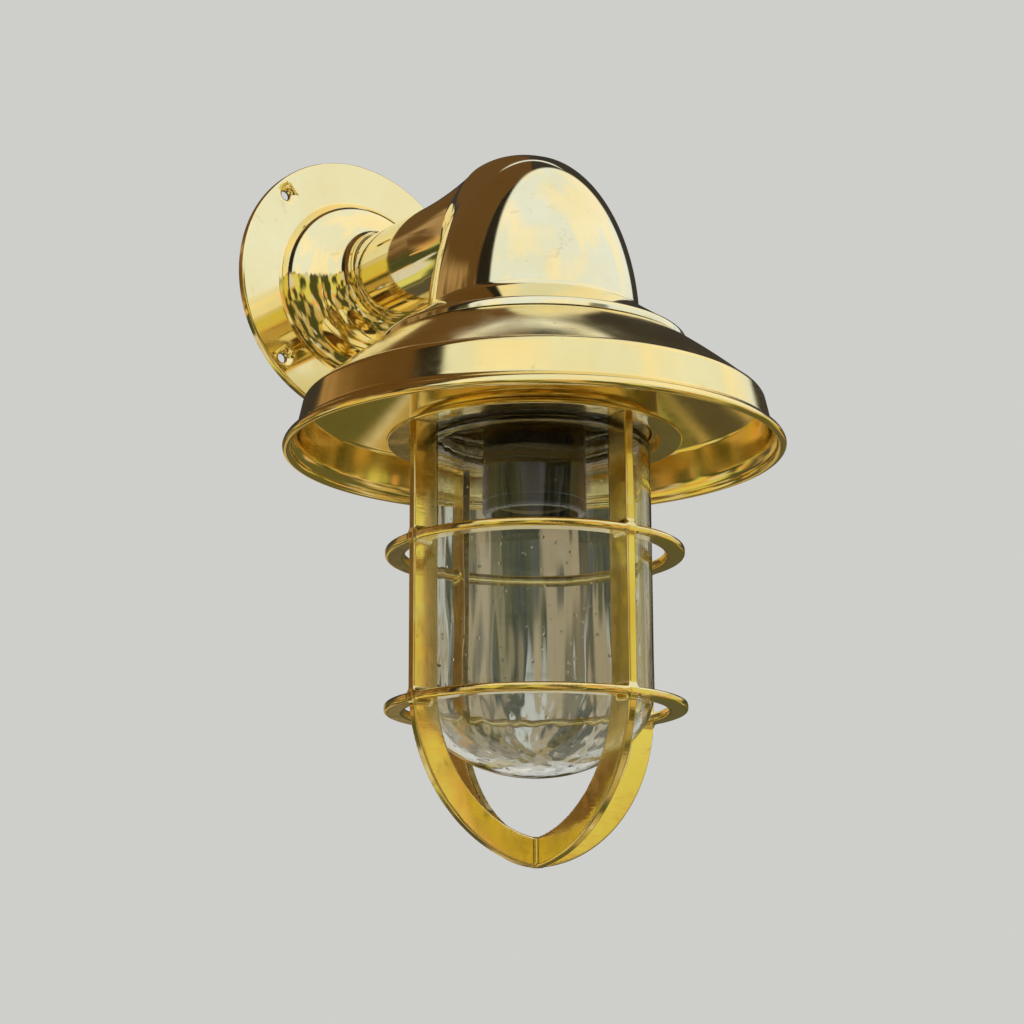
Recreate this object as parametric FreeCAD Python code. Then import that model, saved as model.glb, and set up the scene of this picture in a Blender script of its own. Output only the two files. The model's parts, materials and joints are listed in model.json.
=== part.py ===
import FreeCAD, Part
import math
import os

# Wall-mounted ship lantern in cast and spun brass.  Millimetres.
# Origin: the middle of the wall face.  The wall is the plane y = 0, the lantern
# stands out along -Y, +Z is up.  Its lamp axis is vertical, REACH from the wall.
V = FreeCAD.Vector

REACH = 134.0              # wall to lamp axis

# wall flange, measured as radius and distance from the wall
FLANGE_R = 60.7
FLANGE_FRONT = 4.5         # front of the flat rim
DOME_R = 40.7              # foot of the raised dome
WALL_GASKET_T = 1.0
RECESS_R = 36.5            # hollow behind the dome
NUT_SEAT = 13.0            # inner face that the arm's lock nut pulls on
NOSE_END = 32.0            # where the flange's nose meets the arm
SCREW_CIRCLE_R = 54.0
SCREW_HOLE_R = 2.4
COUNTERSINK_R = 4.4
QUARTERS = (45, 135, 225, 315)    # angles of the four wall screws and clamp screws
POST_AT = 28.5             # terminal block's post, below the flange's centre
POST_R = 3.5
POST_END = 7.5             # its end face, distance from the wall
POST_THREAD_R = 1.3

# arm and hood casting
ARM_R = 19.6
ARM_BORE_R = 14.0
SPIGOT_R = 16.5            # threaded end of the arm, inside the nose
SPIGOT_END = 7.5
LOCK_NUT_FLATS = 42.0
LOCK_NUT_T = 4.5
BALL_R = 24.4              # swelling of the arm as it turns down into the hood
BALL_AT = 118.0            # its middle, distance from the wall
HOOD_R = 43.0              # hood is half an ellipsoid, widest at HOOD_MID_Z
HOOD_HEIGHT = 72.4
HOOD_MID_Z = -52.0
HOOD_WALL = 3.0
HOOD_LOW_Z = -46.0         # where the ellipsoid gives way to the cove over the foot
HOOD_BLEND_R = 8.0         # fillet between arm and hood
FOOT_R = 62.0
FOOT_SPLIT_R = 43.2        # where the foot is divided from the hood
FOOT_Z = -62.5             # underside of the hood's foot
FIT_GAP = 0.08             # radial gap of every turning or sliding fit

# stack under the foot, top to bottom
SHADE_SEAL_T = 0.8
SHADE_T = 1.2
SHADE_TOP_Z = FOOT_Z - SHADE_SEAL_T
GALLERY_SEAL_T = 0.8
GALLERY_Z = SHADE_TOP_Z - SHADE_T - GALLERY_SEAL_T    # top of the gallery's flange
GALLERY_FLANGE_T = 5.0
GALLERY_FLANGE_R = 58.5
GALLERY_BORE_R = 28.0
NECK_TOP_Z = GALLERY_Z - GALLERY_FLANGE_T
NECK_LOW_Z = -97.0
NECK_R = 46.8              # outside thread, for the guard
GLASS_THREAD_R = 41.0      # inside thread, for the globe
SHADE_HOLE_R = 44.5
CLAMP_CIRCLE_R = 53.0      # screws that clamp foot, shade and gallery
CLAMP_SCREW_R = 2.0
CLAMP_HOLE_R = 2.3
CLAMP_HEAD_R = 3.5
CLAMP_HEAD_T = 2.4
CLAMP_RECESS = 3.0         # depth of the pockets that hide the screw heads

# shade
SHADE_CORNER = (90.6, -84.5)
SHADE_SPLIT_Z = -85.0      # where the band is divided from the slope
SHADE_BAND_TOP = (92.3, -86.4)
SHADE_BAND_LOW = (94.8, -98.3)
SHADE_RIM_R = 100.0
SHADE_RIM_Z = -105.2

# guard
GUARD_SEAL_T = 2.0
GUARD_TOP_Z = NECK_TOP_Z - GUARD_SEAL_T
GUARD_R = 59.0             # outside of the rings and bars
GUARD_FLANGE_Z = -100.3    # underside of the top ring
RING_BORE_R = 51.3
RING_T = 3.5
RING_TOPS = (-143.8, -205.2)
BAR_INNER_R = 47.9
BAR_W = 3.8
ARCH_Z = -203.0            # height of the arch centres
ARCH_OFFSET = 6.2          # how far past the axis each arch is struck from

# globe
GLASS_R = 46.2
GLASS_T = 3.0
GLASS_SEAL_T = 2.0
GLASS_TOP_Z = NECK_TOP_Z - GLASS_SEAL_T
GLASS_STRAIGHT_Z = -200.0
GLASS_LOW_Z = -233.5

# lamp holder
HOLDER_R = 20.5
HOLDER_LOW_Z = -130.0
HOLDER_JOINT_Z = -92.0
CAP_TOP_Z = -68.0
SHELL_R = 13.5             # inside of the lamp thread
SHELL_LOW_Z = -125.0
SHELL_STEP_Z = -102.2      # thread ends here, just below the centre contact
BRACKET_Z = GALLERY_Z + 2.6
BRACKET_T = 2.5
BRACKET_SCREW_AT = 33.0
EARTH_SCREW_AT = 19.0
EARTH_WASHER_T = 0.8
SMALL_SCREW_R = 1.65
SMALL_HEAD_R = 3.2
SMALL_HEAD_T = 2.2
NIPPLE_R = 5.0
NIPPLE_NUT_T = 3.0

WIRE_R = 1.1


# ---------------------------------------------------------------- helpers
def chain(here, steps):
    """Edges in the XZ plane from a point on; a step is a point, or (middle, end) for an arc."""
    edges = []
    for step in steps:
        if isinstance(step[0], tuple):
            middle, end = (V(x, 0, z) for x, z in step)
            edges.append(Part.Arc(here, middle, end).toShape())
        else:
            end = V(step[0], 0, step[1])
            edges.append(Part.LineSegment(here, end).toShape())
        here = end
    return edges, here


def outline(start, *steps):
    """Closed face in the XZ plane."""
    edges, _ = chain(V(start[0], 0, start[1]), steps + (start,))
    return Part.Face(Part.Wire(edges))


def turned(start, *steps):
    """Solid of revolution about Z."""
    return outline(start, *steps).revolve(V(0, 0, 0), V(0, 0, 1), 360)


def ring(inner, outer, low, high):
    """Flat ring about Z."""
    body = Part.makeCylinder(outer, high - low, V(0, 0, low))
    if inner > 0:
        body = body.cut(Part.makeCylinder(inner, high - low + 2, V(0, 0, low - 1)))
    return body


def rounded_ring(inner, outer, low, high, radius):
    """Flat ring with rounded corners."""
    body = ring(inner, outer, low, high)
    return body.makeFillet(radius, circles(body))


def circles(body):
    """Round edges of a solid of revolution, without its seams."""
    return [e for e in body.Edges if isinstance(e.Curve, Part.Circle)]


def box(x0, x1, y0, y1, z0, z1):
    """Block between two values on each axis."""
    return Part.makeBox(x1 - x0, y1 - y0, z1 - z0, V(x0, y0, z0))


def hexagon(flats, low, height):
    """Hexagonal prism about Z."""
    corner = flats / 2 / math.cos(math.pi / 6)
    corners = []
    for i in range(7):
        angle = math.radians(60 * i)
        corners.append(V(corner * math.cos(angle), corner * math.sin(angle), low))
    return Part.Face(Part.makePolygon(corners)).extrude(V(0, 0, height))


def on_lamp_axis(body):
    """Move a body built about Z to the lamp axis."""
    return body.translated(V(0, -REACH, 0))


def out_of_wall(body):
    """Turn a body built about Z so that its height becomes distance from the wall."""
    return body.rotated(V(0, 0, 0), V(1, 0, 0), 90)


def around(body, angles):
    """Copies of a body turned about Z."""
    return [body.rotated(V(0, 0, 0), V(0, 0, 1), a) for a in angles]


def export(name, body):
    """Write one piece; a piece with several solids is written as a compound."""
    solids = body.Solids
    shape = solids[0]
    if len(solids) > 1:
        shape = Part.makeCompound(solids)
    shape.exportStep("parts/%s.step" % name)


# ---------------------------------------------------------------- wall end
def wall_flange():
    low = WALL_GASKET_T
    front = FLANGE_FRONT
    body = turned(
        (SPIGOT_R + FIT_GAP, NUT_SEAT),
        (26.8, NUT_SEAT),
        ((32.6, 10.2), (RECESS_R, 4.5)),
        (RECESS_R, low),
        (FLANGE_R, low),
        (FLANGE_R, front - 0.8),
        ((FLANGE_R - 0.25, front - 0.25), (FLANGE_R - 0.8, front)),
        (DOME_R, front),
        ((36.9, 12.8), (28.6, 17.4)),
        ((22.0, 21.8), (ARM_R, NOSE_END)),
        (SPIGOT_R + FIT_GAP, NOSE_END),
    )
    hole = Part.makeCylinder(SCREW_HOLE_R, 8, V(SCREW_CIRCLE_R, 0, 0))
    depth = COUNTERSINK_R - SCREW_HOLE_R
    sink = Part.makeCone(SCREW_HOLE_R, COUNTERSINK_R, depth, V(SCREW_CIRCLE_R, 0, front - depth))
    for tool in around(hole.fuse(sink), QUARTERS):
        body = body.cut(tool)
    post = Part.makeCylinder(POST_R, NUT_SEAT - POST_END, V(0, -POST_AT, POST_END))
    post = post.common(Part.makeCylinder(33, 20, V(0, 0, 0)))
    body = body.fuse(post)
    body = body.cut(Part.makeCylinder(POST_THREAD_R, 5, V(0, -POST_AT, POST_END - 1)))
    return out_of_wall(body.removeSplitter())


def wall_gasket():
    body = ring(RECESS_R, FLANGE_R - 1.2, 0, WALL_GASKET_T)
    for tool in around(Part.makeCylinder(SCREW_HOLE_R, 4, V(SCREW_CIRCLE_R, 0, -1)), QUARTERS):
        body = body.cut(tool)
    return out_of_wall(body)


def arm_lock_nut():
    low = NUT_SEAT - LOCK_NUT_T
    body = hexagon(LOCK_NUT_FLATS, low, LOCK_NUT_T)
    return out_of_wall(body.cut(Part.makeCylinder(SPIGOT_R + FIT_GAP, 10, V(0, 0, low - 1))))


# ---------------------------------------------------------------- arm and hood
def bell(radius, height, low_z, steps):
    """Hood-shaped solid: ellipse from the top down to low_z, then steps down to the axis."""
    middle = V(0, 0, HOOD_MID_Z)
    top = V(0, 0, HOOD_MID_Z + height)
    curve = Part.Ellipse(top, V(radius, 0, HOOD_MID_Z), middle)
    arc = Part.ArcOfEllipse(curve, 0, math.acos((low_z - HOOD_MID_Z) / height))
    edges, here = chain(arc.EndPoint, steps)
    edges.append(arc.toShape())
    edges.append(Part.LineSegment(here, top).toShape())
    return Part.Face(Part.Wire(Part.__sortEdges__(edges))).revolve(V(0, 0, 0), V(0, 0, 1), 360)


def arm_solid(radius, ball_r, start):
    """Arm along -Y that swells into a ball over the hood."""
    straight_end = 72.0
    flare_mid = (radius + 0.28 * (ball_r - radius), straight_end + 0.5 * (BALL_AT - straight_end))
    body = turned(
        (0, start),
        (radius, start),
        (radius, straight_end),
        (flare_mid, (ball_r, BALL_AT)),
        ((ball_r * math.sqrt(0.5), BALL_AT + ball_r * math.sqrt(0.5)), (0, BALL_AT + ball_r)),
    )
    return out_of_wall(body)


def hood_seam(body):
    """Edges where the arm runs into the hood: the only free-form ones above the foot."""
    seam = []
    for edge in body.Edges:
        if edge.Degenerated or edge.BoundBox.ZMin < HOOD_LOW_Z + 1:
            continue
        if isinstance(edge.Curve, Part.BSplineCurve):
            seam.append(edge)
    return seam


def hood_casting():
    """Arm, hood and foot as one hollow body."""
    outer = on_lamp_axis(bell(HOOD_R, HOOD_HEIGHT, HOOD_LOW_Z, [
        ((43.6, -47.9), (46.2, -49.2)),
        (60.0, -58.6),
        ((61.5, -59.4), (FOOT_R, -60.8)),
        (FOOT_R, FOOT_Z),
        (0, FOOT_Z),
    ]))
    body = outer.fuse(arm_solid(ARM_R, BALL_R, NOSE_END))
    body = body.makeFillet(HOOD_BLEND_R, hood_seam(body))
    inner_r = HOOD_R - HOOD_WALL
    hollow = on_lamp_axis(bell(inner_r, HOOD_HEIGHT - HOOD_WALL, HOOD_MID_Z, [
        (inner_r, FOOT_Z - 1),
        (0, FOOT_Z - 1),
    ]))
    spigot = out_of_wall(Part.makeCylinder(SPIGOT_R, NOSE_END - SPIGOT_END + 1, V(0, 0, SPIGOT_END)))
    body = body.fuse(spigot)
    body = body.cut(hollow)
    bore = arm_solid(ARM_BORE_R, BALL_R - HOOD_WALL, SPIGOT_END - 1)
    body = body.cut(bore)
    tapped = Part.makeCylinder(CLAMP_SCREW_R + 0.05, 6.5, V(CLAMP_CIRCLE_R, 0, FOOT_Z))
    for tool in around(tapped, QUARTERS):
        body = body.cut(on_lamp_axis(tool))
    return body.removeSplitter()


def foot_zone():
    """Space outside the hood's own wall and below its cove."""
    return on_lamp_axis(ring(FOOT_SPLIT_R, FOOT_R + 5, FOOT_Z - 1, HOOD_LOW_Z + 1))


def hood_elbow():
    return hood_casting().cut(foot_zone())


def hood_foot():
    return hood_casting().common(foot_zone())


# ---------------------------------------------------------------- shade and gallery
def clamp_holes(body):
    """Drill a piece of the stack for the four clamp screws."""
    for tool in around(Part.makeCylinder(CLAMP_HOLE_R, 30, V(CLAMP_CIRCLE_R, 0, -85)), QUARTERS):
        body = body.cut(tool)
    return body


def shade_seal():
    return on_lamp_axis(clamp_holes(ring(SHADE_HOLE_R, FOOT_R - 1, SHADE_TOP_Z, FOOT_Z)))


def spun_shade():
    slope_start = (63.4, SHADE_TOP_Z)
    t = SHADE_T
    body = turned(
        (SHADE_HOLE_R, SHADE_TOP_Z),
        slope_start,
        SHADE_CORNER,
        ((91.7, -85.2), SHADE_BAND_TOP),
        SHADE_BAND_LOW,
        ((95.6, -99.5), (97.0, -100.4)),
        ((99.2, -101.7), (SHADE_RIM_R, -103.4)),
        ((99.6, -104.7), (98.6, SHADE_RIM_Z)),
        ((97.2, -104.7), (96.4, -103.0)),
        ((94.6, -101.0), (93.6, -98.3)),
        (SHADE_BAND_TOP[0] - t, -87.0),
        ((90.6, -86.1), (89.9, -85.5)),
        (slope_start[0] - 0.5, SHADE_TOP_Z - t),
        (SHADE_HOLE_R, SHADE_TOP_Z - t),
    )
    return on_lamp_axis(clamp_holes(body))


def band_zone():
    """Space below the corner between the shade's slope and its band."""
    return on_lamp_axis(ring(0, SHADE_RIM_R + 5, SHADE_RIM_Z - 5, SHADE_SPLIT_Z))


def shade():
    return spun_shade().cut(band_zone())


def shade_band():
    return spun_shade().common(band_zone())


def gallery_seal():
    body = ring(SHADE_HOLE_R, GALLERY_FLANGE_R - 0.5, GALLERY_Z, GALLERY_Z + GALLERY_SEAL_T)
    return on_lamp_axis(clamp_holes(body))


def gallery_ring():
    top = BRACKET_Z
    body = turned(
        (GALLERY_BORE_R, top),
        (SHADE_HOLE_R - 0.4, top),
        (SHADE_HOLE_R - 0.4, GALLERY_Z),
        (GALLERY_FLANGE_R, GALLERY_Z),
        (GALLERY_FLANGE_R, NECK_TOP_Z),
        (NECK_R, NECK_TOP_Z),
        (NECK_R, NECK_LOW_Z + 0.8),
        (NECK_R - 0.8, NECK_LOW_Z),
        (GLASS_THREAD_R, NECK_LOW_Z),
        (GLASS_THREAD_R, NECK_TOP_Z),
        (GALLERY_BORE_R, NECK_TOP_Z),
    )
    body = clamp_holes(body)
    pocket = Part.makeCylinder(CLAMP_HEAD_R + 0.3, CLAMP_RECESS, V(CLAMP_CIRCLE_R, 0, NECK_TOP_Z))
    tapped = Part.makeCylinder(SMALL_SCREW_R + 0.05, 6.5, V(BRACKET_SCREW_AT, 0, top - 6))
    for tool in around(pocket, QUARTERS) + around(tapped, (0, 180)):
        body = body.cut(tool)
    return on_lamp_axis(body)


def clamp_screws():
    at = CLAMP_CIRCLE_R
    seat = NECK_TOP_Z + CLAMP_RECESS
    head = Part.makeCylinder(CLAMP_HEAD_R, CLAMP_HEAD_T, V(at, 0, seat - CLAMP_HEAD_T))
    shank = Part.makeCylinder(CLAMP_SCREW_R, FOOT_Z + 6 - seat, V(at, 0, seat))
    slot = box(at - 4, at + 4, -0.5, 0.5, NECK_TOP_Z, seat - CLAMP_HEAD_T + 1)
    screw = head.fuse(shank).cut(slot)
    return on_lamp_axis(Part.makeCompound(around(screw, QUARTERS)))


# ---------------------------------------------------------------- guard
def guard_seal():
    return on_lamp_axis(ring(NECK_R + 0.1, 51.0, GUARD_TOP_Z, NECK_TOP_Z))


def guard_collar():
    body = turned(
        (NECK_R + FIT_GAP, GUARD_TOP_Z),
        (48.9, GUARD_TOP_Z),
        (49.3, GUARD_TOP_Z - 0.4),
        (50.0, -90.5),
        ((52.3, -96.3), (58.2, -98.7)),
        ((58.9, -99.0), (GUARD_R, -99.6)),
        ((58.8, -100.1), (58.3, GUARD_FLANGE_Z)),
        (50.0, GUARD_FLANGE_Z),
        (50.0, NECK_LOW_Z - 0.6),
        (NECK_R + FIT_GAP, NECK_LOW_Z - 0.6),
    )
    return on_lamp_axis(body)


def guard_ring(top):
    return on_lamp_axis(rounded_ring(RING_BORE_R, GUARD_R, top - RING_T, top, 0.9))


def hoop():
    """One full bar of the guard in the XZ plane: two legs and a pointed arch."""
    outer_r = GUARD_R + ARCH_OFFSET
    inner_r = BAR_INNER_R + ARCH_OFFSET
    top = GUARD_FLANGE_Z

    def on_arc(radius, angle):
        a = math.radians(angle)
        return (radius * math.cos(a) - ARCH_OFFSET, ARCH_Z - radius * math.sin(a))

    def tip(radius):
        return (0, ARCH_Z - math.sqrt(radius ** 2 - ARCH_OFFSET ** 2))

    def mirror(point):
        return (-point[0], point[1])

    out_mid = on_arc(outer_r, 42)
    in_mid = on_arc(inner_r, 42)
    face = outline(
        (GUARD_R, top),
        (GUARD_R, ARCH_Z),
        (out_mid, tip(outer_r)),
        (mirror(out_mid), (-GUARD_R, ARCH_Z)),
        (-GUARD_R, top),
        (-BAR_INNER_R, top),
        (-BAR_INNER_R, ARCH_Z),
        (mirror(in_mid), tip(inner_r)),
        (in_mid, (BAR_INNER_R, ARCH_Z)),
        (BAR_INNER_R, top),
    )
    face.translate(V(0, -BAR_W / 2, 0))
    return face.extrude(V(0, BAR_W, 0))


def notched(body):
    """Cut the two lower rings' places out of a bar, so that it fits over them."""
    for top in RING_TOPS:
        body = body.cut(ring(RING_BORE_R, GUARD_R + 1, top - RING_T, top))
    return body


def guard_side_hoop():
    return on_lamp_axis(notched(hoop()))


def guard_front_hoop():
    body = notched(hoop().rotated(V(0, 0, 0), V(0, 0, 1), 90))
    half = BAR_W / 2
    crossing = box(-half, half, -half, half, -280, -240)
    return on_lamp_axis(body.cut(crossing))


# ---------------------------------------------------------------- globe
def globe_seal():
    return on_lamp_axis(ring(33.0, 40.6, GLASS_TOP_Z, NECK_TOP_Z))


def glass_globe():
    neck = GLASS_THREAD_R - FIT_GAP
    inner = GLASS_R - GLASS_T
    depth = GLASS_STRAIGHT_Z - GLASS_LOW_Z
    turn_z = NECK_LOW_Z - 0.8
    shoulder = GLASS_R - neck
    body = turned(
        (0, GLASS_TOP_Z),
        (neck - 0.6, GLASS_TOP_Z),
        ((neck - 0.18, GLASS_TOP_Z - 0.18), (neck, GLASS_TOP_Z - 0.6)),
        (neck, turn_z),
        ((neck + shoulder * 0.707, turn_z - shoulder * 0.293), (GLASS_R, turn_z - shoulder)),
        (GLASS_R, GLASS_STRAIGHT_Z),
        (0, GLASS_STRAIGHT_Z),
    ).fuse(ellipsoid(GLASS_R, depth))
    hollow = turned(
        (0, GLASS_TOP_Z + 1),
        (neck - GLASS_T, GLASS_TOP_Z + 1),
        (neck - GLASS_T, NECK_LOW_Z - 3.0),
        ((inner - 1.4, NECK_LOW_Z - 4.4), (inner, NECK_LOW_Z - 8.0)),
        (inner, GLASS_STRAIGHT_Z),
        (0, GLASS_STRAIGHT_Z),
    ).fuse(ellipsoid(inner, depth - GLASS_T))
    return on_lamp_axis(body.cut(hollow).removeSplitter())


def ellipsoid(radius, depth):
    """Lower half of an ellipsoid of revolution, hung from GLASS_STRAIGHT_Z."""
    middle = V(0, 0, GLASS_STRAIGHT_Z)
    rim = V(radius, 0, GLASS_STRAIGHT_Z)
    low = V(0, 0, GLASS_STRAIGHT_Z - depth)
    curve = Part.Ellipse(rim, low, middle)
    arc = Part.ArcOfEllipse(curve, 0, math.pi / 2).toShape()
    edges = [arc, Part.LineSegment(low, middle).toShape(), Part.LineSegment(middle, rim).toShape()]
    return Part.Face(Part.Wire(Part.__sortEdges__(edges))).revolve(V(0, 0, 0), V(0, 0, 1), 360)


# ---------------------------------------------------------------- lamp holder
def holder_bracket():
    end = BRACKET_SCREW_AT + 4
    hole = SMALL_SCREW_R + 0.25
    body = box(-end, end, -7, 7, BRACKET_Z, BRACKET_Z + BRACKET_T)
    body = body.common(Part.makeCylinder(end, 10, V(0, 0, BRACKET_Z - 1)))
    for x, radius in (
        (0, NIPPLE_R + 0.1),
        (BRACKET_SCREW_AT, hole),
        (-BRACKET_SCREW_AT, hole),
        (EARTH_SCREW_AT, SMALL_SCREW_R + 0.05),
    ):
        body = body.cut(Part.makeCylinder(radius, 10, V(x, 0, BRACKET_Z - 1)))
    return on_lamp_axis(body)


def pan_screw(radius, head_r, head_t, length, x, seat_z):
    """Pan-head screw pointing down, its head on seat_z."""
    head = Part.makeCylinder(head_r, head_t, V(x, 0, seat_z))
    head = head.makeFillet(head_t * 0.4, [head.Edges[0]])
    shank = Part.makeCylinder(radius, length, V(x, 0, seat_z - length))
    slot = box(x - head_r - 1, x + head_r + 1, -0.4, 0.4, seat_z + head_t * 0.5, seat_z + head_t + 1)
    return head.fuse(shank).cut(slot)


def small_screw(length, x, seat_z):
    return pan_screw(SMALL_SCREW_R, SMALL_HEAD_R, SMALL_HEAD_T, length, x, seat_z)


def bracket_screws():
    seat = BRACKET_Z + BRACKET_T
    pair = [small_screw(7.5, x, seat) for x in (-BRACKET_SCREW_AT, BRACKET_SCREW_AT)]
    return on_lamp_axis(Part.makeCompound(pair))


def earth_screw():
    seat = BRACKET_Z + BRACKET_T + EARTH_WASHER_T
    return on_lamp_axis(small_screw(4.5, EARTH_SCREW_AT, seat))


def earth_washer():
    seat = BRACKET_Z + BRACKET_T
    body = ring(SMALL_SCREW_R + 0.1, 4.0, seat, seat + EARTH_WASHER_T)
    return on_lamp_axis(body.translated(V(EARTH_SCREW_AT, 0, 0)))


def holder_nipple():
    return on_lamp_axis(ring(3.5, NIPPLE_R, CAP_TOP_Z - 8, BRACKET_Z + BRACKET_T + 6))


def nipple_nuts():
    nuts = []
    for low in (BRACKET_Z - NIPPLE_NUT_T, BRACKET_Z + BRACKET_T):
        bore = Part.makeCylinder(NIPPLE_R + 0.05, 5, V(0, 0, low - 1))
        nuts.append(hexagon(14, low, NIPPLE_NUT_T).cut(bore))
    return on_lamp_axis(Part.makeCompound(nuts))


def holder_cap():
    joint = HOLDER_JOINT_Z
    top = CAP_TOP_Z
    body = turned(
        (NIPPLE_R + 0.05, top),
        (8.6, top),
        ((8.9, top - 0.1), (9.0, top - 0.4)),
        (9.0, top - 5),
        ((17.0, top - 8.5), (HOLDER_R, top - 17)),
        (HOLDER_R, joint),
        (18.0, joint),
        (18.0, top - 17),
        ((15.2, top - 10.5), (9.0, top - 8.2)),
        (NIPPLE_R + 0.05, top - 8.2),
    )
    return on_lamp_axis(body)


def holder_skirt():
    joint = HOLDER_JOINT_Z
    low = HOLDER_LOW_Z
    body = turned(
        (16.2, joint + 5.5),
        (17.92, joint + 5.5),
        (17.92, joint),
        (HOLDER_R, joint),
        (HOLDER_R, low + 1.0),
        ((HOLDER_R - 0.3, low + 0.3), (HOLDER_R - 1.0, low)),
        (17.2, low),
        (17.2, -97.0),
        (15.0, -97.0),
        (15.0, -95.0),
        (16.2, -95.0),
    )
    return on_lamp_axis(body)


def holder_core():
    body = ring(1.58, 16.1, -95.0, -85.5)
    for x in (-9, 9):
        body = body.cut(Part.makeCylinder(1.55, 6, V(x, 0, -91)))
        body = body.cut(box(x - 3.4, x + 3.4, -3.4, 3.4, -88.0, -85))
    return on_lamp_axis(body)


def screw_shell():
    body = turned(
        (5.0, -95.0),
        (14.3, -95.0),
        (14.3, SHELL_LOW_Z),
        (14.9, SHELL_LOW_Z - 0.6),
        (14.4, SHELL_LOW_Z - 1.0),
        (SHELL_R, SHELL_LOW_Z),
        (SHELL_R, SHELL_STEP_Z),
        (SHELL_R + 0.3, SHELL_STEP_Z),
        (SHELL_R + 0.3, -95.8),
        (5.0, -95.8),
    )
    return on_lamp_axis(body)


def centre_contact():
    stem = Part.makeCylinder(1.5, 10, V(0, 0, -98.6))
    pad = turned((0, -98.6), (4.0, -98.6), (4.0, -100.2), (2.4, -101.6), (0, -101.6))
    return on_lamp_axis(stem.fuse(pad).removeSplitter())


def terminal_screws():
    return on_lamp_axis(Part.makeCompound([pan_screw(1.5, 2.8, 1.8, 2.8, x, -88.0) for x in (-9, 9)]))


# ---------------------------------------------------------------- wiring
def terminal_block():
    body = box(-13, 13, -32.0, -22.5, 1.6, POST_END)
    body = body.cut(Part.makeCylinder(1.7, 10, V(0, -POST_AT, 0)))
    for x in (-8.5, 0, 8.5):
        body = body.cut(Part.makeCylinder(WIRE_R + 0.2, 5.5, V(x, -22, 4.6), V(0, -1, 0)))
    return out_of_wall(body)


def terminal_block_screw():
    head = Part.makeCylinder(2.6, 1.4, V(0, -POST_AT, 0.2))
    shank = Part.makeCylinder(POST_THREAD_R - 0.05, 8.8, V(0, -POST_AT, 1.6))
    return out_of_wall(head.fuse(shank))


def smooth_path(points):
    """Straight runs joined by tangent arcs, each as large as its two runs allow."""
    edges = []
    here = points[0]
    for before, corner, after in zip(points, points[1:], points[2:]):
        towards = (before - corner).normalize()
        away = (after - corner).normalize()
        half_turn = (math.pi - towards.getAngle(away)) / 2
        cut = 0.45 * min((before - corner).Length, (after - corner).Length)
        start = corner + towards * cut
        end = corner + away * cut
        bisector = (towards + away).normalize()
        radius = cut / math.tan(half_turn)
        middle = corner + bisector * (radius / math.cos(half_turn) - radius)
        edges.append(Part.LineSegment(here, start).toShape())
        edges.append(Part.Arc(start, middle, end).toShape())
        here = end
    edges.append(Part.LineSegment(here, points[-1]).toShape())
    return Part.Wire(edges)


def tube(points, radius):
    """Round wire along a smooth path."""
    path = smooth_path([V(*p) for p in points])
    start = V(*points[0])
    direction = V(*points[1]) - start
    section = Part.Wire([Part.makeCircle(radius, start, direction)])
    return path.makePipeShell([section], True, False)


def lamp_wire(side):
    """Conductor from the terminal block through the arm and nipple to a terminal."""
    nipple_x = 1.8 * side
    return tube([
        (8.5 * side, -4.6, -22.4),
        (8.5 * side, -5.0, -12.0),
        (5.5 * side, -14.0, -3.0),
        (4.5 * side, -36.0, 0.5),
        (4.0 * side, -70.0, -1.5),
        (3.5 * side, -104.0, 1.5),
        (2.5 * side, -127.0, -6.0),
        (nipple_x, -REACH + 0.3, -30.0),
        (nipple_x, -REACH, -58.0),
        (nipple_x, -REACH, -76.5),
        (4.0 * side, -REACH + 1.0, -82.0),
        (9.0 * side, -REACH, -85.0),
    ], WIRE_R)


def earth_wire():
    return tube([
        (0, -4.6, -22.4),
        (0, -5.0, -12.0),
        (0.0, -14.0, -6.0),
        (0.5, -36.0, -5.0),
        (1.0, -70.0, -6.5),
        (4.0, -102.0, -4.0),
        (14.0, -122.0, -16.0),
        (22.0, -128.0, -36.0),
        (23.5, -REACH + 3, -52.0),
        (19.8, -REACH + 4.4, -58.6),
    ], WIRE_R)


# ---------------------------------------------------------------- all pieces
PIECES = {
    "wall_gasket": wall_gasket,
    "wall_flange": wall_flange,
    "arm_lock_nut": arm_lock_nut,
    "hood_elbow": hood_elbow,
    "hood_foot": hood_foot,
    "shade_seal": shade_seal,
    "shade": shade,
    "shade_band": shade_band,
    "gallery_seal": gallery_seal,
    "gallery_ring": gallery_ring,
    "clamp_screws": clamp_screws,
    "guard_seal": guard_seal,
    "guard_collar": guard_collar,
    "guard_middle_ring": lambda: guard_ring(RING_TOPS[0]),
    "guard_bottom_ring": lambda: guard_ring(RING_TOPS[1]),
    "guard_side_hoop": guard_side_hoop,
    "guard_front_hoop": guard_front_hoop,
    "globe_seal": globe_seal,
    "glass_globe": glass_globe,
    "holder_bracket": holder_bracket,
    "bracket_screws": bracket_screws,
    "earth_screw": earth_screw,
    "earth_washer": earth_washer,
    "holder_nipple": holder_nipple,
    "nipple_nuts": nipple_nuts,
    "holder_cap": holder_cap,
    "holder_skirt": holder_skirt,
    "holder_core": holder_core,
    "screw_shell": screw_shell,
    "centre_contact": centre_contact,
    "terminal_screws": terminal_screws,
    "terminal_block": terminal_block,
    "terminal_block_screw": terminal_block_screw,
    "live_wire": lambda: lamp_wire(-1),
    "neutral_wire": lambda: lamp_wire(1),
    "earth_wire": earth_wire,
}

os.makedirs("parts", exist_ok=True)
for piece_name, make in PIECES.items():
    piece = make()
    export(piece_name, piece)
    print(piece_name, len(piece.Solids), piece.isValid(), round(piece.Volume / 1000, 3), "cm3")
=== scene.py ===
"""Looks of the wall-mounted brass ship lantern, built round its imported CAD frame.

The wall is the plane y = 0 and the lantern stands out along -Y.  Shapes are worked out in
millimetres and stored in metres.
"""
import json
import math

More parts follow.
